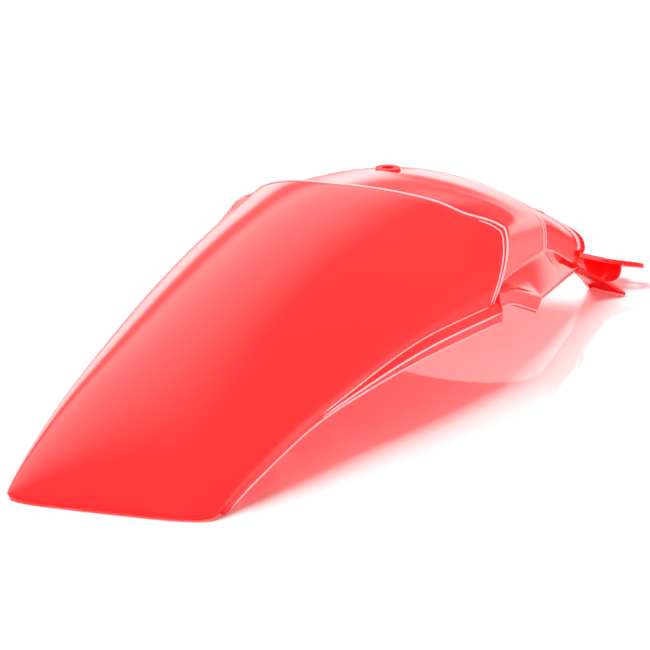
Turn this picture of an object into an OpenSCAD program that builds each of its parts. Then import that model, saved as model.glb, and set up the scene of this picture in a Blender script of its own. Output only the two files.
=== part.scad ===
// Motocross rear fender, moulded in one piece.
// X runs forward to the frame mounts, Y to the left, Z up.
// It lies as on a table, on its rear edge and its two front feet.

/* [Tail] */
// Length from the middle of the rear edge to the middle of the seat lip
tail_length = 405; // [370:1:440]
// Width of the rear edge over its rounded corners
rear_width = 152; // [130:1:170]
// How far the middle of the rear edge stands behind its corners
rear_bow = 28; // [16:1:36]
// Depth of the rolled hem at the rear edge
rear_hem = 3.4; // [3:0.1:5]
// Height of the crown at the middle of the seat lip
crown_height = 133; // [124:1:142]
// Width over the side skirts at the seat lip, without their flange
skirt_width = 226; // [216:1:236]
// Height of the crease above the skirt flange at its front corner
skirt_lift = 51; // [46:1:56]
// Height of the arch in the skirt's lower edge
skirt_arch = 39; // [30:1:44]

/* [Seat lip] */
// How far the corners of the seat lip stand in front of its middle
lip_sweep = 82; // [70:1:92]
// How far the skirt's front edge slants back below the corner
skirt_rake = 59; // [50:1:66]
// Step down from the tail to the front section at the lip
lip_step = 3; // [2:0.1:5]
// Depth of the dip in the lip between its crown and its corner
lip_dip = 5; // [0:0.5:8]

/* [Skirt flange] */
// How far the flange stands out at the skirt's front corner
flange_out = 5; // [3:0.5:8]
// How far the flange hangs down at the skirt's front corner
flange_drop = 11; // [8:0.5:14]

/* [Front section] */
// Length from the middle of the lip to the middle of the front edge
front_length = 243; // [230:1:256]
// Height of the crown at the middle of the front edge
front_height = 72; // [68:1:78]
// Width over the side walls at the fold in front of the lip
fold_width = 180; // [174:1:186]
// Height of the side wall's top at the fold
fold_height = 78; // [74:1:82]
// Width over the side walls at the front edge
front_width = 186; // [180:1:190]
// Height of the side wall's top at the front edge
front_side = 53; // [50:1:57]
// Height of the rim that is turned up along the top of the front edge
rim_height = 2.5; // [2:0.5:4]
// How far the rim flares out at the sides of the front edge
rim_flare = 7; // [5:0.5:8]

/* [Side wings] */
// Width over the side wings
wing_width = 226; // [220:1:232]
// Length of the wings along their outer edge
wing_length = 81; // [72:1:90]
// Height of the lip that hangs down from the wing's outer edge
wing_lip = 9; // [6:0.5:12]

/* [Mounting arms] */
// Distance between the two ear bores
ear_spacing = 222; // [218:1:228]
// Diameter of the ear bore
ear_bore = 10; // [6:0.1:12]
// Outer radius of the ear round its bore
ear_radius = 11.5; // [9:0.5:13]
// Thickness of the arm's top plate and its ear
ear_thick = 3.2; // [2.8:0.1:4]
// Height of the bore's top above the table
ear_height = 16; // [15:0.5:20]
// How steeply the arms slope down towards the front
arm_slope = 18; // [15:1:21]
// Distance of the ear bores in front of the front edge
ear_ahead = 59; // [54:1:64]
// Width over the two front feet
foot_width = 244; // [236:1:250]

/* [Seat bolt hole] */
// Distance of the seat bolt hole in front of the lip
hole_ahead = 107; // [90:1:120]
// Diameter of the seat bolt hole
hole_bore = 8.5; // [6:0.1:11]
// Outer diameter of the collar round the hole
collar_diameter = 19; // [15:0.5:24]
// Height of the collar above the crown
collar_height = 1.6; // [1:0.1:3]

/* [Wall] */
// Thickness of the moulded wall
wall = 2.6; // [2:0.1:2.8]

/* [Hidden] */
$fn = 64;
paint = [0.9, 0.08, 0.1];

// Rows and columns of the moulded skin
tail_rows = 16;
front_rows = 14;
body_columns = 12;
plate_columns = 4;
brim_columns = 6;
columns = body_columns + brim_columns;

// smooth step from 0 to 1, straight mix, and a smooth curve through the points p
function ease(t) = let (c = min(1, max(0, t))) c * c * (3 - 2 * c);
function mix(a, b, t) = a + (b - a) * t;
function slope(p, i) = let (a = max(i - 1, 0), b = min(i + 1, len(p) - 1))
    (p[b][1] - p[a][1]) / (p[b][0] - p[a][0]);
function cubic(p, i, x) = let (h = p[i + 1][0] - p[i][0], t = (x - p[i][0]) / h)
    mix(p[i][1], p[i + 1][1], t * t * (3 - 2 * t))
    + h * t * (1 - t) * (slope(p, i) * (1 - t) - slope(p, i + 1) * t);
function curve(p, x, i = 0) =
    i > len(p) - 3 || x <= p[i + 1][0] ? cubic(p, i, x) : curve(p, x, i + 1);

// quarter of a superellipse of power n, from [0, 1] at t = 0 to [1, 0] at t = 1,
// with its points drawn together at the rounded corner
function quarter(t, n) = let (m = pow(0.5, 1 / n),
    c = m * (1 - pow(abs(1 - 2 * t), 1.4)), o = pow(1 - pow(c, n), 1 / n))
    t < 0.5 ? [c, o] : [o, c];

// Places along the body, measured from the middle of the rear edge
lip_x = tail_length;
corner_x = lip_x + lip_sweep;
skirt_x = corner_x - skirt_rake;
front_x = lip_x + front_length;
step_run = 5;
side_start = corner_x + step_run;
side_end = front_x - 5;
base_start = skirt_x + 3 * step_run;
base_end = front_x - 6;
fold_x = mix(side_start, side_end, 0.65);
wing_end = base_start + wing_length;
ear_x = front_x + ear_ahead;

// The tail at s, from 0 at the rear edge to 1 at the seat lip. A column k runs from
// the crown to the crease above the flange, and on down the flange. With in = wall
// it is the inner face, with in = 0 the outer one.
rear_power = 3.4;
lip_power = 2.4;
skirt_low = skirt_lift - flange_drop;
function crown(s) = rear_hem + 0.4 + (crown_height - rear_hem - 0.4) * pow(1 - pow(1 - s, 1.5), 0.8);
function flange(s) = ease((s - 0.3) / 0.5);
function hang(s) = mix(rear_hem, flange_drop, flange(s));
function edge_height(s) = curve([[0, 0], [0.1, 0.28 * skirt_arch], [0.3, 0.72 * skirt_arch],
    [0.5, 0.94 * skirt_arch], [0.7, skirt_arch + 2], [1, skirt_low]], s);
function half_width(s) = mix(rear_width, skirt_width, s) / 2;
function dip(s, y) = let (t = min(1, y / (0.45 * skirt_width))) 4 * lip_dip * pow(s, 8) * t * t * pow(1 - t, 0.6);
function rear_sweep(q) = rear_bow * (1 - pow(1 - pow(min(q, 1), 4.2), 1 / 4.2));
function lip_back(v) = 1 - min(1, max(0, v / 0.5));
function lip_curve(unit, back) = lip_sweep * pow(min(1, unit[0] / 0.92), 1.7) - skirt_rake * back;
function hem(s) = 1 - ease(s / 0.2);
function tail_brim(s, w, in) = let (f = flange(s), deep = in * max(hem(s), f) * (1 - w)) [
    flange_out * f * sin(min(90, 170 * w)) + 0.4 * w * (1 - f),
    -mix(deep, hang(s), mix(w, pow(w, 1.5), f))];
function tail_point(s, k, in) = let (
    w = max(0, k - body_columns) / brim_columns,
    unit = quarter(min(1, k / body_columns), mix(rear_power, lip_power, s)),
    low = edge_height(s) + hang(s),
    y = (half_width(s) - in) * unit[0],
    z = mix(low - (w > 0 ? 0 : in * hem(s)), crown(s) - in, unit[1]) - dip(s, y),
    x = s * lip_x + mix(rear_sweep(unit[0]), lip_curve(unit, lip_back(unit[1])), pow(s, 1.5)),
    brim = w > 0 ? tail_brim(s, w, in) : [0, 0]
  ) [x, y + brim[0], z + brim[1]];

// The front section at u, from 0 at the lip to 1 at its front edge. Its columns run
// from the crown down the side wall, out over the wing and down the wing's lip.
front_power = 6;
lip_blend = 0.12;
flare_start = 1 - 1 / front_rows;
flare_share = 0.35;
function rim_out(k) = let (j = k / body_columns, share = mix(1, 0.3, ease(5 * j - 4)))
    [0, rim_flare * share * ease((j - 0.2) / 0.55), rim_height * share * (1 - ease(2 * j - 1))];
side_height = 101;
function roof(u) = front_height + (crown_height - lip_step - front_height)
    * curve([[0, 1], [0.15, 0.93], [0.32, 0.85], [0.425, 0.8], [0.52, 0.73], [0.68, 0.58], [0.87, 0.26], [1, 0]], u);
function side_top(x) = curve([[side_start, side_height], [fold_x - 2, fold_height],
    [fold_x + 2, fold_height - 1.5], [side_end, front_side]], x);
function wall_half(x) = curve([[base_start, skirt_width / 2 - 9], [side_start, fold_width / 2 + 8],
    [fold_x - 2, fold_width / 2], [fold_x + 2, fold_width / 2 - 0.8], [side_end, front_width / 2]], x);
function base_height(x) = curve([[base_start, skirt_lift + 3], [fold_x, skirt_lift - 1],
    [base_end, skirt_lift - 22]], x);
function wing_half(x) = mix(wing_width / 2, front_width / 2 + 3,
    min(1, max(0, (x - wing_end) / (base_end - wing_end))));
function wing_height(x) = curve([[base_start, skirt_lift + 3], [base_start + 35, skirt_lift],
    [wing_end, skirt_lift - 17.5], [base_end, skirt_lift - 25]], x);
function lip_hang(x) = x < wing_end + 0.5 ? wing_lip : wall + 0.6;
function front_brim(x, j, b, low, in) = let (
    out = max(b + 3, wing_half(x)), edge = wing_height(x),
    w = min(1, j / plate_columns), d = max(0, j - plate_columns) / (brim_columns - plate_columns)
  ) [mix(b, out + 0.3 * d, w) - b, mix(mix(low, edge, w), edge - max(lip_hang(x), in + 0.6) + in, d) - low];
function front_point(u, k, in) = let (
    j = max(0, k - body_columns),
    fade = ease(u / lip_blend),
    unit = quarter(min(1, k / body_columns), mix(lip_power, front_power, fade)),
    down = mix(lip_back(unit[1]), ease(1 - unit[1] / 0.8), fade),
    middle = mix(lip_x + step_run, front_x, u),
    side = mix(side_start, side_end, u),
    base = mix(base_start, base_end, u),
    x = middle + (side - middle) * pow(min(1, unit[0] / 0.92), 1.7) + (base - side) * down,
    b = wall_half(x),
    low = base_height(base),
    top = mix(roof(u), side_top(side), pow(unit[0], mix(1.5, 2, u))),
    brim = front_brim(base, j, b, low, in),
    flare = flare_share * pow(max(0, (u - flare_start) / (1 - flare_start)), 2)
  ) [x - 0.5 * in * (1 - u), unit[0] * (b - in) + brim[0], mix(low, top, unit[1]) + brim[1] - in]
    + flare * rim_out(k);

// Rows of the skin from the rear edge to the front edge
tail_stops = [for (i = [0:tail_rows]) pow(i / tail_rows, 1.15)];
wing_stop = wing_length / (base_end - base_start);
front_stops = concat(
    [for (i = [0:front_rows]) let (u = i / front_rows) if (u < wing_stop - 0.02) u],
    [wing_stop, wing_stop + 0.01],
    [for (i = [0:front_rows - 1]) let (u = i / front_rows) if (u > wing_stop + 0.03) u],
    [mix(flare_start, 1, 0.55), 1]);
function signed(p, k) = k < 0 ? [p[0], -p[1], p[2]] : p;
function face(in) = concat(
    [for (s = tail_stops) [for (k = [-columns:columns]) signed(tail_point(s, abs(k), in), k)]],
    [for (u = front_stops) [for (k = [-columns:columns]) signed(front_point(u, abs(k), in), k)]]);

// two triangles between four corners, and a closed skin between two grids of points
function quad(a, b, c, d, left) = left ? [[a, b, c], [b, d, c]] : [[a, b, d], [a, d, c]];
module skin(outer, inner) {
    rows = len(outer);
    cols = len(outer[0]);
    n = rows * cols;
    half = (cols - 1) / 2;
    end = (rows - 1) * cols;
    polyhedron(concat([for (r = outer) each r], [for (r = inner) each r]), concat(
        [for (i = [0:rows - 2], k = [0:cols - 2]) let (p = i * cols + k)
            each quad(p, p + 1, p + cols, p + cols + 1, k < half)],
        [for (i = [0:rows - 2], k = [0:cols - 2]) let (p = n + i * cols + k)
            each quad(p, p + cols, p + 1, p + cols + 1, k < half)],
        [for (k = [0:cols - 2]) each quad(k, n + k, k + 1, n + k + 1, k < half)],
        [for (k = [0:cols - 2]) each quad(end + k, end + k + 1, n + end + k, n + end + k + 1, k < half)],
        [for (i = [0:rows - 2]) let (p = i * cols) each quad(p, p + cols, n + p, n + p + cols, true)],
        [for (i = [0:rows - 2]) let (p = i * cols + cols - 1)
            each quad(p, n + p, p + cols, n + p + cols, false)]));
}

// the skin with the rim that is turned up along its front edge, and out at its sides
rim_run = 1.2;
module shell() {
    outer = face(0);
    inner = face(wall);
    last = len(outer) - 1;
    runs = [rim_run, rim_run + wall];
    skin(concat(outer, [for (run = runs) [for (k = [-columns:columns])
            outer[last][k + columns] + [run, 0, 0] + (1 - flare_share) * signed(rim_out(abs(k)), k)]]),
        concat(inner, [for (run = runs) [for (p = inner[last]) p + [run, 0, 0]]]));
}

// Arms that carry the front mounts, one on each side
arm_in = front_width / 2 - 4;
arm_out = arm_in + 13;
arm_back = ear_ahead + 12;
arm_tip = 19;
module arm_plate() {
    translate([ear_x, 0, ear_height]) rotate([0, arm_slope, 0]) translate([0, 0, -ear_thick])
        linear_extrude(ear_thick) difference() {
            union() {
                polygon([[-arm_back, arm_in - 1], [arm_tip, arm_in - 1], [arm_tip, arm_out],
                    [ear_radius, ear_spacing / 2], [-ear_radius, ear_spacing / 2],
                    [1 - arm_tip, arm_out + 2], [-arm_back, arm_out - 4]]);
                translate([0, ear_spacing / 2]) circle(ear_radius);
            }
            translate([0, ear_spacing / 2]) circle(d = ear_bore);
        }
}

// The web below the plate carries the foot, whose toe slopes out and down to the table
toe_x = ear_x - 22;
arm_start = base_end + rim_run + 1.5;
web_low = skirt_lift - 27;
module arm_web() {
    translate([0, arm_in + wall, 0]) rotate([90, 0, 0]) linear_extrude(wall)
        polygon([[arm_start, web_low + 16], [arm_start + 10, ear_height + 14], [ear_x, ear_height - 1.5],
            [ear_x, ear_height - 9], [toe_x + 3, 0.4], [toe_x - 3, 0.4], [arm_start + 4, web_low - 1],
            [arm_start + 1.5, web_low + 2], [arm_start, web_low + 7]]);
}
module toe() {
    back = [arm_start + 4, arm_in + 1, web_low - 1.5];
    tip = [toe_x - 13, foot_width / 2, 0];
    heel = [toe_x, arm_in + 1, 0.8];
    rise = [0, 0, wall];
    polyhedron([back, tip, heel, back + rise, tip + rise, heel + rise],
        [[2, 1, 0], [4, 5, 3], [1, 4, 3, 0], [2, 5, 4, 1], [0, 3, 5, 2]]);
}

// A round tab below the ear, which stands on the table
lobe_radius = 9;
module lobe() {
    translate([ear_x + wall / 2, arm_in + lobe_radius - 1, 0]) rotate([90, 0, -90]) linear_extrude(wall)
        union() {
            translate([0, lobe_radius]) circle(lobe_radius);
            translate([-lobe_radius, lobe_radius]) square([2 * lobe_radius, ear_height - 1.5 - lobe_radius]);
        }
}

// The collar of the seat bolt hole stands straight up on the crown
hole_x = lip_x + hole_ahead;
hole_z = roof((hole_ahead - step_run) / (front_length - step_run));
module collar() {
    translate([hole_x, 0, hole_z - wall - 2]) cylinder(d = collar_diameter, h = collar_height + wall + 2);
}
module hole() {
    translate([hole_x, 0, hole_z - wall - 3]) cylinder(d = hole_bore, h = collar_height + wall + 8);
}

whole_length = ear_x + arm_tip * cos(arm_slope);
module rear_fender() {
    color(paint) translate([-whole_length / 2, 0, 0]) {
        difference() {
            union() {
                shell();
                collar();
            }
            hole();
        }
        for (side = [0, 1]) mirror([0, side, 0]) {
            arm_plate();
            arm_web();
            toe();
            lobe();
        }
    }
}

rear_fender();
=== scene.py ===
# Motocross rear fender in red gloss plastic, lying on a white gloss table.
# Lengths in the dictionaries are millimetres. X runs forward, Y to the left, Z up.
import math

import bpy
import numpy as np
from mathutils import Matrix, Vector


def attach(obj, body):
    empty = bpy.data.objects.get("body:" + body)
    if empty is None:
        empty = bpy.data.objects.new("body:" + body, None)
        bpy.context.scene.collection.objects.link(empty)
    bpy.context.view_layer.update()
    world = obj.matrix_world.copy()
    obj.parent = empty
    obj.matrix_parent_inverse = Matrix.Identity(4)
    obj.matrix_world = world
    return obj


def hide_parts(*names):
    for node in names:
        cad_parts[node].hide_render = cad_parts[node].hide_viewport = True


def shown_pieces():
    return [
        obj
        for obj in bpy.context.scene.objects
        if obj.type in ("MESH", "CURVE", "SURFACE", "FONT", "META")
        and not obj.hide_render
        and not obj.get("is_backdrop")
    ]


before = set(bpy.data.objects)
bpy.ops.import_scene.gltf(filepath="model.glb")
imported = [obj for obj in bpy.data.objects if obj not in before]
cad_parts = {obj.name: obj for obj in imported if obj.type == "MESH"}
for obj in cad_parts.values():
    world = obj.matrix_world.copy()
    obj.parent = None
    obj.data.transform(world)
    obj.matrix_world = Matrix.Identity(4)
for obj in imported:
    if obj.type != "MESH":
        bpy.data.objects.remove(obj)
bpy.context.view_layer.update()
mm = 0.001

tail = dict(length=405, rearWidth=152, rearBow=28, bowPower=4.2, hem=3.4, hemRun=0.2, crown=133,
            crownRise=1.5, crownFlat=0.8, width=226, lift=51, arch=39, lipPower=2.4,
            powers=[[0, 2.6], [0.3, 2.05], [0.6, 1.9], [0.85, 1.98], [0.94, 2.12], [1, 2.32]])
lip = dict(sweep=82, rake=59, backRound=0.03, cornerReach=0.92, cornerRound=0.006, cornerPower=1.7,
           step=2, dip=5, dipReach=0.45, hollow=2.4, hollowPlace=80, hollowWidth=10, corner=1.2,
           cornerPlace=101, cornerWidth=7, run=5, bandRows=7, tension=0.75)
flange = dict(start=0.3, grow=0.5, out=7, drop=11, fold=0.55, ledgeDrop=0.42)
front = dict(length=243, height=72, foldWidth=180, foldHeight=78, foldSoft=2, width=186, side=53,
             power=6, blend=0.12, dipRun=0.3, sideHeight=101, lean=3.5)
wing = dict(width=226, length=81, lip=10.5, tuck=2.5, least=3, stepRun=3)
rim = dict(height=0.8, flare=3.8, flareStart=0.36, flareRun=0.3, run=1.2, rows=8, share=0.35,
           start=1 - 1 / 14, footShare=0.3)
arm = dict(ahead=59, spacing=222, bore=10, radius=11.5, thick=3.2, height=16, slope=18, tip=19,
           back=71, width=13, toeBack=22, toeLength=13, lobe=10, lobeAside=6.5)
foot = dict(width=244)
seatHole = dict(ahead=107, bore=8.5, collar=19, height=1.6, foot=5.5, clearance=1.5)
skin = dict(wall=2.6, bodySteps=84, foldSteps=20, edgeSteps=12, tailRows=150, rowPower=1.15,
            frontRows=74, capSteps=6, bulge=0.4, creaseWidth=1.2, creasePasses=2)

bodyColumns = 12
plateColumns = 4
brimColumns = 6
lipX = tail["length"]
cornerX = lipX + lip["sweep"]
skirtX = cornerX - lip["rake"]
frontX = lipX + front["length"]
sideStart = cornerX + lip["run"]
sideEnd = frontX - 5
baseStart = skirtX + 3 * lip["run"]
baseEnd = frontX - 6
foldX = sideStart + 0.65 * (sideEnd - sideStart)
wingEnd = baseStart + wing["length"]
earX = frontX + arm["ahead"]
wholeLength = earX + arm["tip"] * math.cos(math.radians(arm["slope"]))


def ease(t):  # smooth step from 0 to 1: c squared times (3 - 2c)
    c = np.clip(t, 0.0, 1.0)
    return c * c * (3 - 2 * c)


def mix(a, b, t):
    return a + (b - a) * t


def through(points, x):
    # piecewise cubic through the points; its slope at each is that of the line between the neighbours
    px, py = np.array(points, float).T
    at = np.arange(len(px))
    before, after = np.maximum(at - 1, 0), np.minimum(at + 1, len(px) - 1)
    slopes = (py[after] - py[before]) / (px[after] - px[before])
    x = np.asarray(x, float)
    i = np.clip(np.searchsorted(px, x) - 1, 0, len(px) - 2)
    h = px[i + 1] - px[i]
    t = (x - px[i]) / h
    return (mix(py[i], py[i + 1], t * t * (3 - 2 * t))
            + h * t * (1 - t) * (slopes[i] * (1 - t) - slopes[i + 1] * t))


def quarter(t, power):
    # quarter of a superellipse from the top at t = 0: across and up, each to the power, sum to 1;
    # the 1.4 spaces the columns evenly round the shoulder
    m = 0.5 ** (1 / power)
    c = m * (1 - np.abs(1 - 2 * t) ** 1.4)
    o = (1 - c ** power) ** (1 / power)
    return np.where(t < 0.5, c, o), np.where(t < 0.5, o, c)


def lipBack(up):
    # 1 at the skirt's foot and 0 from half its height up: a hyperbola rounds the corner between the two
    v = 1 - 2 * up
    return (v + np.sqrt(v * v + lip["backRound"])) / 2


def cornered(across):
    # grows with the way across and stays near 1 past the corner, rounded by a hyperbola too;
    # 1.003 is the root of 1 + cornerRound, so that it starts from 0
    a = np.maximum(across, 0) / lip["cornerReach"]
    return np.maximum(a + 1.003 - np.sqrt((a - 1) ** 2 + lip["cornerRound"]), 0) / 2


def lipWave(y):
    # how far the lip dips at this distance from the middle: a broad dip, a hollow and a raised corner
    reach = np.clip(y / (lip["dipReach"] * tail["width"]), 0, 1)
    broad = 4 * lip["dip"] * reach ** 2 * (1 - reach) ** 0.6
    return (broad + lip["hollow"] * np.exp(-((y - lip["hollowPlace"]) / lip["hollowWidth"]) ** 2)
            - lip["corner"] * np.exp(-((y - lip["cornerPlace"]) / lip["cornerWidth"]) ** 2))


def tailPoints(s, k, inset):
    # rows s from the rear edge to the lip; columns k from the crown down the side to the flange's edge
    power = through(tail["powers"], s)
    across, up = quarter(np.clip(k / bodyColumns, 0, 1), power)
    w = np.clip((k - bodyColumns) / brimColumns, 0, 1)
    grown = ease((s - flange["start"]) / flange["grow"])
    hem = 1 - ease(s / tail["hemRun"])
    hang = mix(tail["hem"], flange["drop"], grown)
    edge = through([[0, 0], [0.1, 0.28 * tail["arch"]], [0.3, 0.72 * tail["arch"]],
                    [0.5, 0.94 * tail["arch"]], [0.7, tail["arch"] + 2],
                    [1, tail["lift"] - flange["drop"]]], s)
    rise = (1 - (1 - s) ** tail["crownRise"]) ** tail["crownFlat"]
    crown = tail["hem"] + 0.4 + (tail["crown"] - tail["hem"] - 0.4) * rise
    y = (mix(tail["rearWidth"], tail["width"], s) / 2 - inset) * across
    dip = lipWave(y) * s ** 8
    low = edge + hang - np.where(w > 0, 0, inset * hem)
    z = mix(low, crown - inset, up) - dip
    bow = (1 - np.clip(across, 0, 1) ** tail["bowPower"]) ** (1 / tail["bowPower"])
    sweep = tail["rearBow"] * (1 - bow)
    curveX = lip["sweep"] * cornered(across) ** lip["cornerPower"] - lip["rake"] * lipBack(up)
    x = s * lipX + mix(sweep, curveX, s ** 1.5)
    deep = inset * np.maximum(hem, grown) * (1 - w)
    ledge = np.clip(w / flange["fold"], 0, 1)
    apron = np.clip((w - flange["fold"]) / (1 - flange["fold"]), 0, 1)
    out = flange["out"] * grown * ledge + 0.4 * w * (1 - grown)
    drop = mix(deep, hang, mix(w, mix(apron, ledge, flange["ledgeDrop"]), grown))
    onBrim = w > 0
    return np.stack([x, y + np.where(onBrim, out, 0), z - np.where(onBrim, drop, 0)], axis=-1)


def roofHeight(u):
    share = through([[0, 1], [0.15, 0.93], [0.32, 0.85], [0.425, 0.8], [0.52, 0.73], [0.68, 0.58],
                     [0.87, 0.26], [1, 0]], u)
    return front["height"] + (tail["crown"] - lip["step"] - front["height"]) * share


def rimOut(k):
    # how the rim stands off the front edge: up along the top, out at the sides, little at the wings
    j = k / bodyColumns
    share = mix(1, rim["footShare"], ease(5 * j - 4))
    return np.stack([0 * j, rim["flare"] * share * ease((j - rim["flareStart"]) / rim["flareRun"]),
                     rim["height"] * share * (1 - ease(2 * j - 1))], axis=-1)


def frontPoints(u, k, inset):
    # rows u from the lip to the front edge; columns run down the side wall, over the wing, down its lip
    fade = ease(u / front["blend"])
    across, up = quarter(np.clip(k / bodyColumns, 0, 1), mix(tail["lipPower"], front["power"], fade))
    j = np.maximum(0, k - bodyColumns)
    down = mix(lipBack(up), ease(1 - up / 0.8), fade)
    middle = mix(lipX + lip["run"], frontX, u)
    side = mix(sideStart, sideEnd, u)
    base = mix(baseStart, baseEnd, u)
    x = middle + (side - middle) * cornered(across) ** lip["cornerPower"] + (base - side) * down
    foldRear, foldFront = foldX - front["foldSoft"], foldX + front["foldSoft"]
    half = through([[baseStart, tail["width"] / 2 - 9], [sideStart, front["foldWidth"] / 2 + 8],
                    [foldRear, front["foldWidth"] / 2], [foldFront, front["foldWidth"] / 2 - 0.8],
                    [sideEnd, front["width"] / 2]], x)
    half = half + front["lean"] * ease((x - foldX) / (sideEnd - foldX)) * ease(2 * up)
    low = through([[baseStart, tail["lift"] + 3], [foldX, tail["lift"] - 1],
                   [baseEnd, tail["lift"] - 22]], base)
    sideTop = through([[sideStart, front["sideHeight"]], [foldRear, front["foldHeight"]],
                       [foldFront, front["foldHeight"] - 1.5], [sideEnd, front["side"]]], side)
    top = mix(roofHeight(u), sideTop, across ** mix(1.5, 2, u))
    narrow = np.clip((base - wingEnd) / (baseEnd - wingEnd), 0, 1)
    outer = np.maximum(half + wing["least"],
                       mix(wing["width"] / 2, front["width"] / 2 + wing["least"], narrow))
    edge = tail["lift"] + through([[baseStart, 5], [wingEnd - 52, 0.5], [wingEnd - 29, -7],
                                   [wingEnd - 0.1, -17.5], [wingEnd + 0.1, -17.5], [baseEnd, -25]], base)
    hang = mix(wing["lip"], skin["wall"] + 0.6, ease((base - wingEnd + 0.5) / wing["stepRun"]))
    w = np.clip(j / plateColumns, 0, 1)
    d = np.maximum(0, j - plateColumns) / (brimColumns - plateColumns)
    brimY = mix(half, outer - wing["tuck"] * d, w) - half
    brimZ = mix(mix(low, edge, w), edge - np.maximum(hang, inset + 0.6) + inset, d) - low
    grown = rim["share"] * np.clip((u - rim["start"]) / (1 - rim["start"]), 0, 1) ** 2
    y = across * (half - inset)
    dip = np.where(j > 0, 0, lipWave(y) * up * (1 - ease(u / front["dipRun"])))
    place = np.stack([x - 0.5 * inset * (1 - u), y + np.where(j > 0, brimY, 0),
                      mix(low, top, up) - dip + np.where(j > 0, brimZ, 0) - inset], axis=-1)
    return place + grown[..., None] * rimOut(k)


def softened(points, weight, passes):
    # each pass moves a point towards the middle of its neighbours in its row, by the weight of its column
    points = points.copy()
    for _ in range(passes):
        middle = (points[:, :-2] + points[:, 2:]) / 2
        points[:, 1:-1] = mix(points[:, 1:-1], middle, weight[None, 1:-1, None])
    return points


def between(rowA, tangentA, rowB, tangentB, steps):
    # cubic Hermite rows from row A to row B: each leaves and arrives along its own tangent
    t = np.linspace(0, 1, steps + 2)[1:-1, None, None]
    return ((2 * t ** 3 - 3 * t ** 2 + 1) * rowA + (t ** 3 - 2 * t ** 2 + t) * tangentA
            + (3 * t ** 2 - 2 * t ** 3) * rowB + (t ** 3 - t ** 2) * tangentB)


def unit(v):
    return v / np.maximum(np.linalg.norm(v, axis=-1, keepdims=True), 1e-9)


def mirrored(half):
    # the columns of one side, then the same ones with Y turned over
    other = half[:, :0:-1] * np.array([1, -1, 1])
    return np.concatenate([other, half], axis=1)


def faceRows(inset):
    columns = np.concatenate([
        np.linspace(0, bodyColumns, skin["bodySteps"] + 1),
        np.linspace(bodyColumns, bodyColumns + plateColumns, skin["foldSteps"] + 1)[1:],
        np.linspace(bodyColumns + plateColumns, bodyColumns + brimColumns, skin["edgeSteps"] + 1)[1:]])
    k = columns[None, :]
    s = (np.linspace(0, 1, skin["tailRows"]) ** skin["rowPower"])[:, None]
    u = np.linspace(0, 1, skin["frontRows"])[:, None]
    body = tailPoints(s, k, inset)
    fore = frontPoints(u, k, inset)
    crease = ease(1 - np.abs(columns - bodyColumns) / skin["creaseWidth"])
    body = softened(body, crease, skin["creasePasses"])
    wingFold = ease(1 - np.abs(columns - bodyColumns - plateColumns) / skin["creaseWidth"])
    fore = softened(fore, np.maximum(crease, wingFold), skin["creasePasses"])
    gap = np.linalg.norm(fore[:1] - body[-1:], axis=-1, keepdims=True) * lip["tension"]
    band = between(body[-1:], unit(body[-1:] - body[-2:-1]) * gap, fore[:1],
                   unit(fore[1:2] - fore[:1]) * gap, lip["bandRows"])
    return columns, body, band, fore


def rimRows(last, columns, inset):
    # quarter ellipse from the front edge to the rim's top: forward by the sine, off by 1 - the cosine
    turn = np.linspace(0, math.pi / 2, rim["rows"])[1:, None, None]
    ahead = np.array([rim["run"] + inset, 0, 0]) * np.sin(turn)
    return last + ahead + (1 - rim["share"]) * rimOut(columns) * (1 - np.cos(turn))


def closedSkin(outer, inner, bulge):
    # two grids joined round their whole border by half-round caps
    rows, cols, _ = outer.shape
    count = rows * cols
    index = np.arange(count).reshape(rows, cols)
    a, b, c, d = index[:-1, :-1], index[:-1, 1:], index[1:, 1:], index[1:, :-1]
    up = np.stack([a, d, c, b], axis=-1).reshape(-1, 4)
    down = np.stack([a, b, c, d], axis=-1).reshape(-1, 4) + count
    border = np.concatenate([index[0, :], index[1:, -1], index[-1, -2::-1], index[-2:0:-1, 0]])
    away = np.zeros_like(outer)
    away[0] += unit(outer[0] - outer[1])
    away[-1] += unit(outer[-1] - outer[-2])
    away[:, 0] += unit(outer[:, 0] - outer[:, 1])
    away[:, -1] += unit(outer[:, -1] - outer[:, -2])
    away = unit(away.reshape(-1, 3)[border])
    top, bottom = outer.reshape(-1, 3)[border], inner.reshape(-1, 3)[border]
    turn = np.linspace(0, math.pi, skin["capSteps"] + 2)[1:-1, None, None]
    rings = (top + bottom) / 2 + np.cos(turn) * (top - bottom) / 2 + np.sin(turn) * bulge * away
    added = 2 * count + np.arange(len(rings) * len(border)).reshape(len(rings), -1)
    loops = np.concatenate([border[None], added, border[None] + count])
    after = np.roll(loops, -1, axis=1)
    caps = np.stack([loops[:-1], after[:-1], after[1:], loops[1:]], axis=-1).reshape(-1, 4)
    points = np.concatenate([outer.reshape(-1, 3), inner.reshape(-1, 3), rings.reshape(-1, 3)])
    points[:, 2] = np.maximum(points[:, 2], 0)  # the rear edge rests flat
    return points, np.concatenate([up, down, caps])


def makeMesh(name, points, faces):
    # the points are in millimetres from the middle of the rear edge; the object's own frame is centred
    mesh = bpy.data.meshes.new(name)
    moved = (np.asarray(points, float) - np.array([wholeLength / 2, 0, 0])) * mm
    mesh.from_pydata(moved.tolist(), [], [list(map(int, face)) for face in faces])
    mesh.polygons.foreach_set("use_smooth", np.ones(len(mesh.polygons), bool))
    mesh.update()
    mesh.validate()
    piece = bpy.data.objects.new(name, mesh)
    bpy.context.scene.collection.objects.link(piece)
    return piece


def prism(outline, low, high):
    # an outline in its own plane, carried from one height to another
    count = len(outline)
    ring = np.concatenate([np.c_[outline, np.full(count, low)], np.c_[outline, np.full(count, high)]])
    around = np.arange(count)
    after = (around + 1) % count
    sides = np.stack([around, after, after + count, around + count], axis=-1).tolist()
    return ring, sides + [around[::-1].tolist(), (around + count).tolist()]


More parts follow.
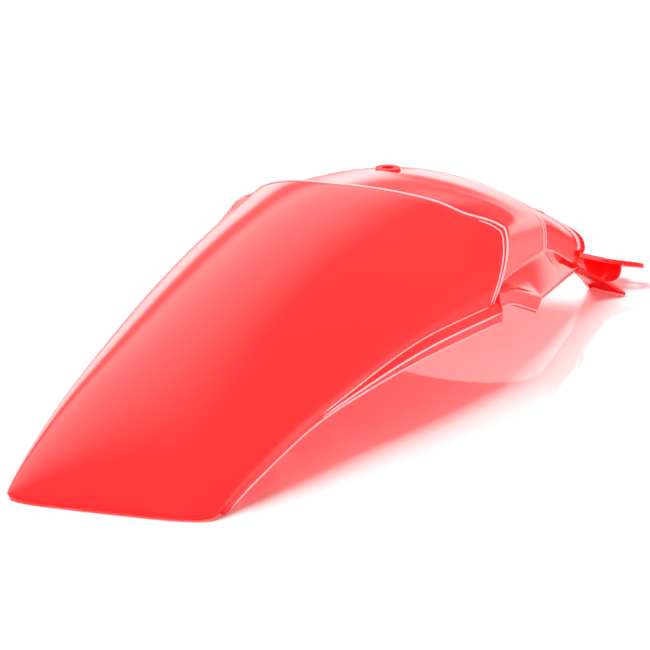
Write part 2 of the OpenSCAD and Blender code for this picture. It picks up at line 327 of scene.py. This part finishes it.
def rounded(corners, radius, steps=6):
    # a closed outline whose corners are cut by quadratic curves that start a radius before each corner
    corners = np.array(corners, float)
    radius = np.broadcast_to(radius, len(corners))
    out = []
    for i, corner in enumerate(corners):
        toBack, toNext = corners[i - 1] - corner, corners[(i + 1) % len(corners)] - corner
        cut = min(radius[i], 0.48 * np.linalg.norm(toBack), 0.48 * np.linalg.norm(toNext))
        p = corner + cut * toBack / np.linalg.norm(toBack)
        q = corner + cut * toNext / np.linalg.norm(toNext)
        t = np.linspace(0, 1, steps)[:, None]
        out.append((1 - t) ** 2 * p + 2 * t * (1 - t) * corner + t ** 2 * q)
    return np.concatenate(out)


def cutRound(piece, place, axis, radius, depth):
    # cuts a round hole with a cylinder, and applies the cut
    bpy.ops.mesh.primitive_cylinder_add(vertices=96, radius=radius * mm, depth=depth * mm)
    cutter = bpy.context.object
    cutter.rotation_mode = "QUATERNION"
    cutter.rotation_quaternion = Vector(axis).to_track_quat("Z", "Y")
    cutter.location = (Vector(place) - Vector((wholeLength / 2, 0, 0))) * mm
    bpy.context.view_layer.update()
    cut = piece.modifiers.new("hole", "BOOLEAN")
    cut.operation = "DIFFERENCE"
    cut.solver = "EXACT"
    cut.object = cutter
    applyAll(piece)
    bpy.data.objects.remove(cutter, do_unlink=True)


def applyAll(piece):
    bpy.context.view_layer.update()
    graph = bpy.context.evaluated_depsgraph_get()
    made = bpy.data.meshes.new_from_object(piece.evaluated_get(graph))
    piece.modifiers.clear()
    piece.data = made


def softEdges(piece, width, segments=3, angle=30):
    bevel = piece.modifiers.new("edges", "BEVEL")
    bevel.width = width * mm
    bevel.segments = segments
    bevel.limit_method = "ANGLE"
    bevel.angle_limit = math.radians(angle)
    applyAll(piece)
    piece.data.polygons.foreach_set("use_smooth", np.ones(len(piece.data.polygons), bool))


def keepFlats(piece, angle=35):
    # smooth shading that stops at edges sharper than the angle
    piece.data.set_sharp_from_angle(angle=math.radians(angle))


def sideName(side):
    return "Left" if side > 0 else "Right"


def orient(points, faces, side):
    # the right-hand piece is the left-hand one with Y turned over, and its faces turned back
    if side > 0:
        return points, faces
    return points * np.array([1, -1, 1]), [list(face)[::-1] for face in faces]


def finishPiece(piece, material):
    piece.data.materials.clear()
    piece.data.materials.append(material)
    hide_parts("rear_fender")
    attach(piece, "root")


def nodeMaker(tree):
    # a value goes to the node's own setting of that name, or else to its socket of that name
    def add(kind, **values):
        node = tree.nodes.new(kind)
        for key, value in values.items():
            if hasattr(node, key):
                setattr(node, key, value)
            else:
                node.inputs[key].default_value = value
        return node
    return add


# the two pinkish whites on the next line paint the white highlight lines on the edge beads
plastic = dict(red=(1.0, 0.019, 0.022, 1), deep=(0.95, 0.013, 0.016, 1), highlightPale=(1.0, 0.82, 0.84, 1),
               highlightPaleDeep=(1.0, 0.62, 0.65, 1), rough=0.06, roughSwing=0.04, glow=0.52, coat=1.0,
               coatRough=0.03, ior=1.5)
# scales are for metres, and depths are in metres
cloudNoise = dict(scale=9, detail=4)
flowWave = dict(scale=2.2, distortion=6, detail=1.5, detailScale=0.6, bump=0.4, depth=0.0004)
grainNoise = dict(scale=900, detail=3, bump=0.3, depth=0.00002)


def makePlastic(name, red, deep):
    material = bpy.data.materials.new(name)
    material.use_nodes = True
    tree = material.node_tree
    tree.nodes.clear()
    add, link = nodeMaker(tree), tree.links.new
    coords = add("ShaderNodeTexCoord")
    cloud = add("ShaderNodeTexNoise", Scale=cloudNoise["scale"], Detail=cloudNoise["detail"])
    link(coords.outputs["Object"], cloud.inputs["Vector"])
    tint = add("ShaderNodeMix", data_type="RGBA")
    tint.inputs[6].default_value = red
    tint.inputs[7].default_value = deep
    link(cloud.outputs["Fac"], tint.inputs[0])
    # faint lines where the melt ran into the mould, along the tail
    flow = add("ShaderNodeTexWave", wave_type="BANDS", bands_direction="DIAGONAL",
               Scale=flowWave["scale"], Distortion=flowWave["distortion"], Detail=flowWave["detail"])
    flow.inputs["Detail Scale"].default_value = flowWave["detailScale"]
    link(coords.outputs["Object"], flow.inputs["Vector"])
    grain = add("ShaderNodeTexNoise", Scale=grainNoise["scale"], Detail=grainNoise["detail"])
    link(coords.outputs["Object"], grain.inputs["Vector"])
    rough = add("ShaderNodeMapRange")
    rough.inputs["To Min"].default_value = plastic["rough"]
    rough.inputs["To Max"].default_value = plastic["rough"] + plastic["roughSwing"]
    link(flow.outputs["Fac"], rough.inputs["Value"])
    wave = add("ShaderNodeBump", Strength=flowWave["bump"], Distance=flowWave["depth"])
    link(flow.outputs["Fac"], wave.inputs["Height"])
    fine = add("ShaderNodeBump", Strength=grainNoise["bump"], Distance=grainNoise["depth"])
    link(grain.outputs["Fac"], fine.inputs["Height"])
    link(wave.outputs["Normal"], fine.inputs["Normal"])
    shader = add("ShaderNodeBsdfPrincipled", IOR=plastic["ior"])
    shader.inputs["Coat Weight"].default_value = plastic["coat"]
    shader.inputs["Coat Roughness"].default_value = plastic["coatRough"]
    link(tint.outputs[2], shader.inputs["Base Color"])
    link(rough.outputs["Result"], shader.inputs["Roughness"])
    link(fine.outputs["Normal"], shader.inputs["Normal"])
    glow = add("ShaderNodeBsdfTranslucent")
    link(tint.outputs[2], glow.inputs["Color"])
    both = add("ShaderNodeMixShader")
    both.inputs[0].default_value = plastic["glow"]
    link(shader.outputs[0], both.inputs[1])
    link(glow.outputs[0], both.inputs[2])
    output = add("ShaderNodeOutputMaterial")
    link(both.outputs[0], output.inputs["Surface"])
    return material


redPlastic = makePlastic("fenderPlastic", plastic["red"], plastic["deep"])
# this near-white material is a painted highlight, not a colour of the plastic
paintedHighlightEdge = makePlastic("fenderPaintedHighlight", plastic["highlightPale"], plastic["highlightPaleDeep"])
print("plastic ready")

columns, outTail, outBand, outFront = faceRows(0)
_, inTail, inBand, inFront = faceRows(skin["wall"])
outRim = rimRows(outFront[-1:], columns, 0)
inRim = rimRows(inFront[-1:], columns, skin["wall"])
outer = mirrored(np.concatenate([outTail, outBand, outFront, outRim]))
inner = mirrored(np.concatenate([inTail, inBand, inFront, inRim]))
shell = makeMesh("fenderShell", *closedSkin(outer, inner, skin["wall"] * skin["bulge"]))
holeX = lipX + seatHole["ahead"]
holeZ = float(roofHeight((seatHole["ahead"] - lip["run"]) / (front["length"] - lip["run"])))
cutRound(shell, (holeX, 0, holeZ - 4), (0, 0, 1), seatHole["bore"] / 2 + seatHole["clearance"], 20)
shell.data.polygons.foreach_set("use_smooth", np.ones(len(shell.data.polygons), bool))
finishPiece(shell, redPlastic)
print("shell", len(shell.data.polygons), "faces")


def tube(path, radius, across, steps=10):
    # a round bar along a path, thinner at its ends; across is a direction that the path never takes
    path = np.asarray(path, float)
    along = unit(np.gradient(path, axis=0))
    side = unit(np.cross(along, np.array(across, float)))
    up = np.cross(side, along)
    t = np.linspace(0, 1, len(path))
    thick = (radius * np.sqrt(np.clip(np.minimum(t, 1 - t) / 0.06, 0.01, 1)))[:, None, None]
    turn = np.linspace(0, 2 * math.pi, steps, endpoint=False)[None, :, None]
    rings = path[:, None] + thick * (np.cos(turn) * side[:, None] + np.sin(turn) * up[:, None])
    index = np.arange(len(path) * steps).reshape(-1, steps)
    after = np.roll(index, -1, axis=1)
    faces = np.stack([index[:-1], after[:-1], after[1:], index[1:]], axis=-1).reshape(-1, 4).tolist()
    return rings.reshape(-1, 3), faces + [index[0, ::-1].tolist(), index[-1].tolist()]


# radii of the beads
edgeLine = dict(lip=0.9, rim=1.5, skirt=0.6, crease=0.7, brim=0.8, fold=0.7, root=0.8, wing=0.7)
# where they run: shares of the rows or of the columns down the side, and distances in millimetres
edgeRun = dict(skirtGap=4.5, skirtTop=0.58, flangeStart=0.35, rootStart=0.66, rootEnd=0.99,
               beadRow=0.985, beadTop=0.34, beadFoot=0.84, foldTop=0.56, foldAside=dict(Rear=-3, Front=3.5))


# each bead gets the painted highlight material
def layHighlightBead(name, path, radius, across, side):
    points, faces = tube(path, radius, across)
    line = makeMesh(name + sideName(side), *orient(points, faces, side))
    finishPiece(line, paintedHighlightEdge)


def rowLine(surface, row, start, end, steps):
    # the line down one row of a surface, between two shares of the side's columns
    down = np.linspace(start * bodyColumns, end * bodyColumns, steps)[None, :]
    return surface(np.array([[row]]), down, 0)[0]


def columnLine(surface, column, start, end, steps):
    # the line along one column of a surface, between two shares of its rows
    return surface(np.linspace(start, end, steps)[:, None], np.array([[column]]), 0)[:, 0]


def makeHighlightBeads(side):
    # thin beads along the moulded edges, laid on the shell's own surface, coloured near white as painted
    # highlights
    run = edgeRun
    foldColumn = bodyColumns + flange["fold"] * brimColumns
    edgeColumn = bodyColumns + brimColumns
    skirtRow = 1 - run["skirtGap"] / lipX
    ahead, upward = (1, 0, 0), (0, 0, 1)
    lines = [
        ("lipEdge", rowLine(tailPoints, 1.0, 0, 1, 120), "lip", ahead),
        ("skirtEdge", rowLine(tailPoints, skirtRow, run["skirtTop"], 1, 60), "skirt", ahead),
        ("flangeCrease", columnLine(tailPoints, bodyColumns, run["flangeStart"], 1, 120), "crease", upward),
        ("flangeFold", columnLine(tailPoints, foldColumn, run["flangeStart"], 1, 120), "crease", upward),
        ("flangeEdge", columnLine(tailPoints, edgeColumn, 0.02, 1, 200), "brim", upward),
        ("wingRoot", columnLine(frontPoints, bodyColumns, run["rootStart"], run["rootEnd"], 80),
         "root", upward),
        ("wingEdge", columnLine(frontPoints, edgeColumn, 0.02, 1, 160), "wing", upward),
        ("rimBead", rowLine(frontPoints, run["beadRow"], run["beadTop"], run["beadFoot"], 60), "rim", ahead)]
    rows = np.linspace(0, 1, 120)[:, None]
    wall = frontPoints(rows, np.linspace(run["foldTop"] * bodyColumns, bodyColumns, 60)[None, :], 0)
    for place, aside in run["foldAside"].items():
        wallLine = np.array([[np.interp(foldX + aside, line[:, 0], line[:, axis]) for axis in range(3)]
                             for line in wall.transpose(1, 0, 2)])
        lines.append(("sideFold" + place, wallLine, "fold", ahead))
    for name, path, kind, across in lines:
        layHighlightBead(name, path, edgeLine[kind], across, side)


def turned(profile, steps):
    # a profile of radius and height carried once round the Z axis
    profile = np.array(profile, float)
    angle = np.linspace(0, 2 * math.pi, steps, endpoint=False)[:, None]
    points = np.stack([np.cos(angle) * profile[:, 0], np.sin(angle) * profile[:, 0],
                       np.broadcast_to(profile[:, 1], (steps, len(profile)))], axis=-1)
    index = np.arange(steps * len(profile)).reshape(steps, -1)
    nextTurn = np.roll(index, -1, axis=0)
    along, nextAlong = np.roll(index, -1, axis=1), np.roll(nextTurn, -1, axis=1)
    faces = np.stack([index, nextTurn, nextAlong, along], axis=-1).reshape(-1, 4)
    return points.reshape(-1, 3), faces


bore, rimRadius, top = seatHole["bore"] / 2, seatHole["collar"] / 2, seatHole["height"]
collarOutline = rounded([[bore, -seatHole["foot"]], [rimRadius - 2, -seatHole["foot"]],
                         [rimRadius, -1], [rimRadius - 0.6, top], [bore, top]], 0.8)
points, faces = turned(collarOutline, 96)
collar = makeMesh("seatBoltCollar", points + np.array([holeX, 0, holeZ]), faces)
finishPiece(collar, redPlastic)
print("collar")

armIn = front["width"] / 2 - 4
armOut = armIn + arm["width"]
toeX = earX - arm["toeBack"]
armStart = baseEnd + rim["run"] + 1.5
webLow = tail["lift"] - 27


def makeRigid(name, points, faces, side, soft, hole=None):
    piece = makeMesh(name + sideName(side), *orient(points, faces, side))
    if hole:
        cutRound(piece, *hole)
    softEdges(piece, soft)
    keepFlats(piece)
    finishPiece(piece, redPlastic)


def makeArmPlate(side):
    outline = rounded([[-arm["back"], armIn - 1], [arm["tip"], armIn - 1], [arm["tip"], armOut - 2],
                       [arm["radius"] * 0.9, armOut + 4]], [1, 4, 6, 3])
    angle = np.linspace(0.15, math.pi - 0.15, 40)
    ear = np.c_[arm["radius"] * np.cos(angle), arm["spacing"] / 2 + arm["radius"] * np.sin(angle)]
    rear = rounded([[-arm["radius"], arm["spacing"] / 2], [1 - arm["tip"], armOut + 1],
                    [-arm["back"], armOut - 4]], [3, 12, 2])
    flat, faces = prism(np.concatenate([outline, ear, rear]), -arm["thick"], 0)
    c, s = math.cos(math.radians(arm["slope"])), math.sin(math.radians(arm["slope"]))
    points = np.c_[earX + c * flat[:, 0] + s * flat[:, 2], flat[:, 1],
                   arm["height"] - s * flat[:, 0] + c * flat[:, 2]]
    middle = (earX - s * arm["thick"] / 2, side * arm["spacing"] / 2,
              arm["height"] - c * arm["thick"] / 2)
    makeRigid("armPlate", points, faces, side, 0.7, (middle, (s, 0, c), arm["bore"] / 2, 12))


def makeArmWeb(side):
    outline = rounded([[armStart, webLow + 16], [armStart + 10, arm["height"] + 14],
                       [earX, arm["height"] - 1.5], [earX, 5], [toeX + 3, 0.2],
                       [toeX - 3, 0.2], [armStart + 4, webLow - 1], [armStart, webLow + 7]],
                      [1, 1, 1, 4, 2, 2, 3, 2])[::-1]
    flat, faces = prism(outline, armIn, armIn + skin["wall"])
    makeRigid("armWeb", np.c_[flat[:, 0], flat[:, 2], flat[:, 1]], faces, side, 0.7)


def makeToe(side):
    # a sloping wall between four outer corners and the inner ones at these offsets
    high = np.array([armStart - 3, armIn + 2.5, webLow + 6])
    low = np.array([armStart - 1, armIn + 2, webLow - 1])
    tip = np.array([toeX - arm["toeLength"], foot["width"] / 2, 0])
    heel = np.array([toeX, armIn + 1, 0.2])
    corners = np.array([high, tip, heel, low])
    inside = np.array([[1.6, -1.4, -0.5], [0, 0, skin["wall"]], [0, 0, skin["wall"]], [1.6, -1.4, 1]])
    faces = [[3, 2, 1, 0], [4, 5, 6, 7], [0, 1, 5, 4], [1, 2, 6, 5], [2, 3, 7, 6], [3, 0, 4, 7]]
    makeRigid("toe", np.concatenate([corners, corners + inside]), faces, side, 0.6)


def makeLobe(side):
    r = arm["lobe"]
    angle = np.linspace(math.pi, 2 * math.pi, 40)
    half = np.c_[r * np.cos(angle), r + r * np.sin(angle)]
    outline = np.concatenate([half, [[r, arm["height"] - 1.5], [-r, arm["height"] - 1.5]]])
    flat, faces = prism(outline, -skin["wall"] / 2, skin["wall"] / 2)
    points = np.c_[earX + flat[:, 2], armIn + arm["lobeAside"] + flat[:, 0], flat[:, 1]]
    makeRigid("lobe", points, faces, side, 0.6)


for side in (1, -1):
    makeHighlightBeads(side)
    makeArmPlate(side)
    makeArmWeb(side)
    makeToe(side)
    makeLobe(side)
print("arms")

# the table and the studio are in metres; lift: what the table adds of its own white for the camera
table = dict(size=14.0, low=-0.0002, colour=(0.9, 0.9, 0.9, 1), rough=0.02, ior=1.5, lift=0.08)


def makeTable():
    half, low = table["size"] / 2, table["low"]
    mesh = bpy.data.meshes.new("table")
    mesh.from_pydata([(-half, -half, low), (half, -half, low), (half, half, low), (-half, half, low)],
                     [], [(0, 1, 2, 3)])
    floor = bpy.data.objects.new("table", mesh)
    bpy.context.scene.collection.objects.link(floor)
    material = bpy.data.materials.new("tableGloss")
    material.use_nodes = True
    tree = material.node_tree
    tree.nodes.clear()
    add, link = nodeMaker(tree), tree.links.new
    shader = add("ShaderNodeBsdfPrincipled", Roughness=table["rough"], IOR=table["ior"])
    shader.inputs["Base Color"].default_value = table["colour"]
    path = add("ShaderNodeLightPath")
    lift = add("ShaderNodeMath", operation="MULTIPLY")
    lift.inputs[1].default_value = table["lift"]
    link(path.outputs["Is Camera Ray"], lift.inputs[0])
    glow = add("ShaderNodeEmission")
    link(lift.outputs[0], glow.inputs["Strength"])
    total = add("ShaderNodeAddShader")
    link(shader.outputs[0], total.inputs[0])
    link(glow.outputs[0], total.inputs[1])
    output = add("ShaderNodeOutputMaterial")
    link(total.outputs[0], output.inputs["Surface"])
    mesh.materials.append(material)
    floor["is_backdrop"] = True


# key: a soft sun behind the far side; fills: two broad panels that light the fender alone;
# red: a panel that lights the table alone with the red that the thin wall lets through;
# gleam and band: what glossy rays see, a round panel cut off at its foot and a low bright band
studio = dict(ambient=0.26, background=1.0, keyAzimuth=70, keyHeight=62, keyStrength=4.2, keySoftness=40,
              fills=[((-2.2, -2.4, 1.5), 2.2, 150), ((-1.2, 0.4, 3.0), 2.4, 60)],
              redPlace=(0.08, -0.02, 0.06), redSize=(0.62, 0.22), redPower=0.3, redColour=(1, 0.04, 0.05),
              gleamBase=0.68, gleamFoot=16, gleamFade=4, gleamAzimuth=34, gleamHeight=32,
              gleamLevel=1.3, gleamCore=15, gleamEdge=36,
              bandAzimuth=35, bandInner=48, bandOuter=58, bandTop=6.5, bandLevel=2.0)


def direction(azimuth, height):
    a, h = math.radians(azimuth), math.radians(height)
    return (math.cos(a) * math.cos(h), math.sin(a) * math.cos(h), math.sin(h))


def makeStudio(pieces):
    world = bpy.data.worlds.new("studio")
    bpy.context.scene.world = world
    world.use_nodes = True
    tree = world.node_tree
    tree.nodes.clear()
    add, link = nodeMaker(tree), tree.links.new
    coords = add("ShaderNodeTexCoord")
    split = add("ShaderNodeSeparateXYZ")
    link(coords.outputs["Generated"], split.inputs[0])

    def towards(azimuth, height):
        # cosine of the angle between a ray and this direction
        dot = add("ShaderNodeVectorMath", operation="DOT_PRODUCT")
        dot.inputs[1].default_value = direction(azimuth, height)
        link(coords.outputs["Generated"], dot.inputs[0])
        return dot.outputs["Value"]

    def fade(value, zeroAt, oneAt, level):
        span = add("ShaderNodeMapRange", interpolation_type="SMOOTHSTEP")
        span.inputs["From Min"].default_value = min(zeroAt, oneAt)
        span.inputs["From Max"].default_value = max(zeroAt, oneAt)
        span.inputs["To Min"].default_value = 0 if zeroAt < oneAt else level
        span.inputs["To Max"].default_value = level if zeroAt < oneAt else 0
        link(value, span.inputs["Value"])
        return span.outputs["Result"]

    def cosine(degrees):
        return math.cos(math.radians(degrees))

    def sine(degrees):
        return math.sin(math.radians(degrees))

    def combine(kind, a, b):
        node = add("ShaderNodeMath", operation=kind)
        for socket, value in zip(node.inputs, (a, b)):
            if isinstance(value, float):
                socket.default_value = value
            else:
                link(value, socket)
        return node.outputs[0]

    panel = fade(towards(studio["gleamAzimuth"], studio["gleamHeight"]), cosine(studio["gleamEdge"]),
                 cosine(studio["gleamCore"]), studio["gleamLevel"])
    around = fade(towards(studio["bandAzimuth"], 0), cosine(studio["bandOuter"]),
                  cosine(studio["bandInner"]), 1)
    aboveFoot = fade(split.outputs["Z"], sine(studio["gleamFoot"] - studio["gleamFade"]),
                     sine(studio["gleamFoot"] + studio["gleamFade"]), 1)
    panel = combine("MULTIPLY", panel, aboveFoot)
    top = sine(studio["bandTop"])
    band = combine("MULTIPLY", around, fade(split.outputs["Z"], top * 1.4, top * 0.5, studio["bandLevel"]))
    gleamLevel = combine("ADD", combine("MAXIMUM", panel, band), studio["gleamBase"])
    path = add("ShaderNodeLightPath")
    plain = add("ShaderNodeBackground", Strength=studio["ambient"])
    gleam = add("ShaderNodeBackground")
    link(gleamLevel, gleam.inputs["Strength"])
    white = add("ShaderNodeBackground", Strength=studio["background"])
    first = add("ShaderNodeMixShader")
    link(path.outputs["Is Glossy Ray"], first.inputs[0])
    link(plain.outputs[0], first.inputs[1])
    link(gleam.outputs[0], first.inputs[2])
    second = add("ShaderNodeMixShader")
    link(path.outputs["Is Camera Ray"], second.inputs[0])
    link(first.outputs[0], second.inputs[1])
    link(white.outputs[0], second.inputs[2])
    output = add("ShaderNodeOutputWorld")
    link(second.outputs[0], output.inputs["Surface"])

    sun = bpy.data.lights.new("keySun", "SUN")
    sun.energy = studio["keyStrength"]
    sun.angle = math.radians(studio["keySoftness"])
    key = bpy.data.objects.new("keySun", sun)
    key.rotation_mode = "QUATERNION"
    towardsKey = Vector(direction(studio["keyAzimuth"], studio["keyHeight"]))
    key.rotation_quaternion = towardsKey.to_track_quat("Z", "Y")
    key.visible_glossy = False
    bpy.context.scene.collection.objects.link(key)
    lit = bpy.data.collections.new("fenderLitByFill")
    for piece in pieces:
        lit.objects.link(piece)
    floor = bpy.data.collections.new("tableLitThroughFender")
    floor.objects.link(bpy.data.objects["table"])
    lamp = bpy.data.lights.new("redThroughPlastic", "AREA")
    lamp.shape = "RECTANGLE"
    lamp.size, lamp.size_y = studio["redSize"]
    lamp.energy = studio["redPower"]
    lamp.color = studio["redColour"]
    under = bpy.data.objects.new("redThroughPlastic", lamp)
    under.location = studio["redPlace"]
    under.visible_camera = False
    under.visible_glossy = False
    under.light_linking.receiver_collection = floor
    under.light_linking.blocker_collection = floor
    bpy.context.scene.collection.objects.link(under)
    for place, size, power in studio["fills"]:
        lamp = bpy.data.lights.new("fillPanel", "AREA")
        lamp.energy = power
        lamp.size = size
        fill = bpy.data.objects.new("fillPanel", lamp)
        fill.location = place
        fill.rotation_mode = "QUATERNION"
        fill.rotation_quaternion = Vector(place).to_track_quat("Z", "Y")
        fill.visible_glossy = False
        fill.light_linking.receiver_collection = lit
        bpy.context.scene.collection.objects.link(fill)


camera = dict(place=(-5.6161, -2.2812, 1.6202), look=(0.8973, 0.3625, -0.2521), lens=498.46,
              sensor=36, far=100)


def makeCamera():
    data = bpy.data.cameras.new("camera")
    data.lens = camera["lens"]
    data.sensor_width = camera["sensor"]
    data.clip_end = camera["far"]
    eye = bpy.data.objects.new("camera", data)
    eye.location = camera["place"]
    eye.rotation_mode = "QUATERNION"
    eye.rotation_quaternion = Vector(camera["look"]).to_track_quat("-Z", "Y")
    bpy.context.scene.collection.objects.link(eye)
    bpy.context.scene.camera = eye


makeTable()
makeStudio(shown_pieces())
makeCamera()
bpy.context.scene.view_settings.view_transform = "Standard"
print("table, studio and camera")
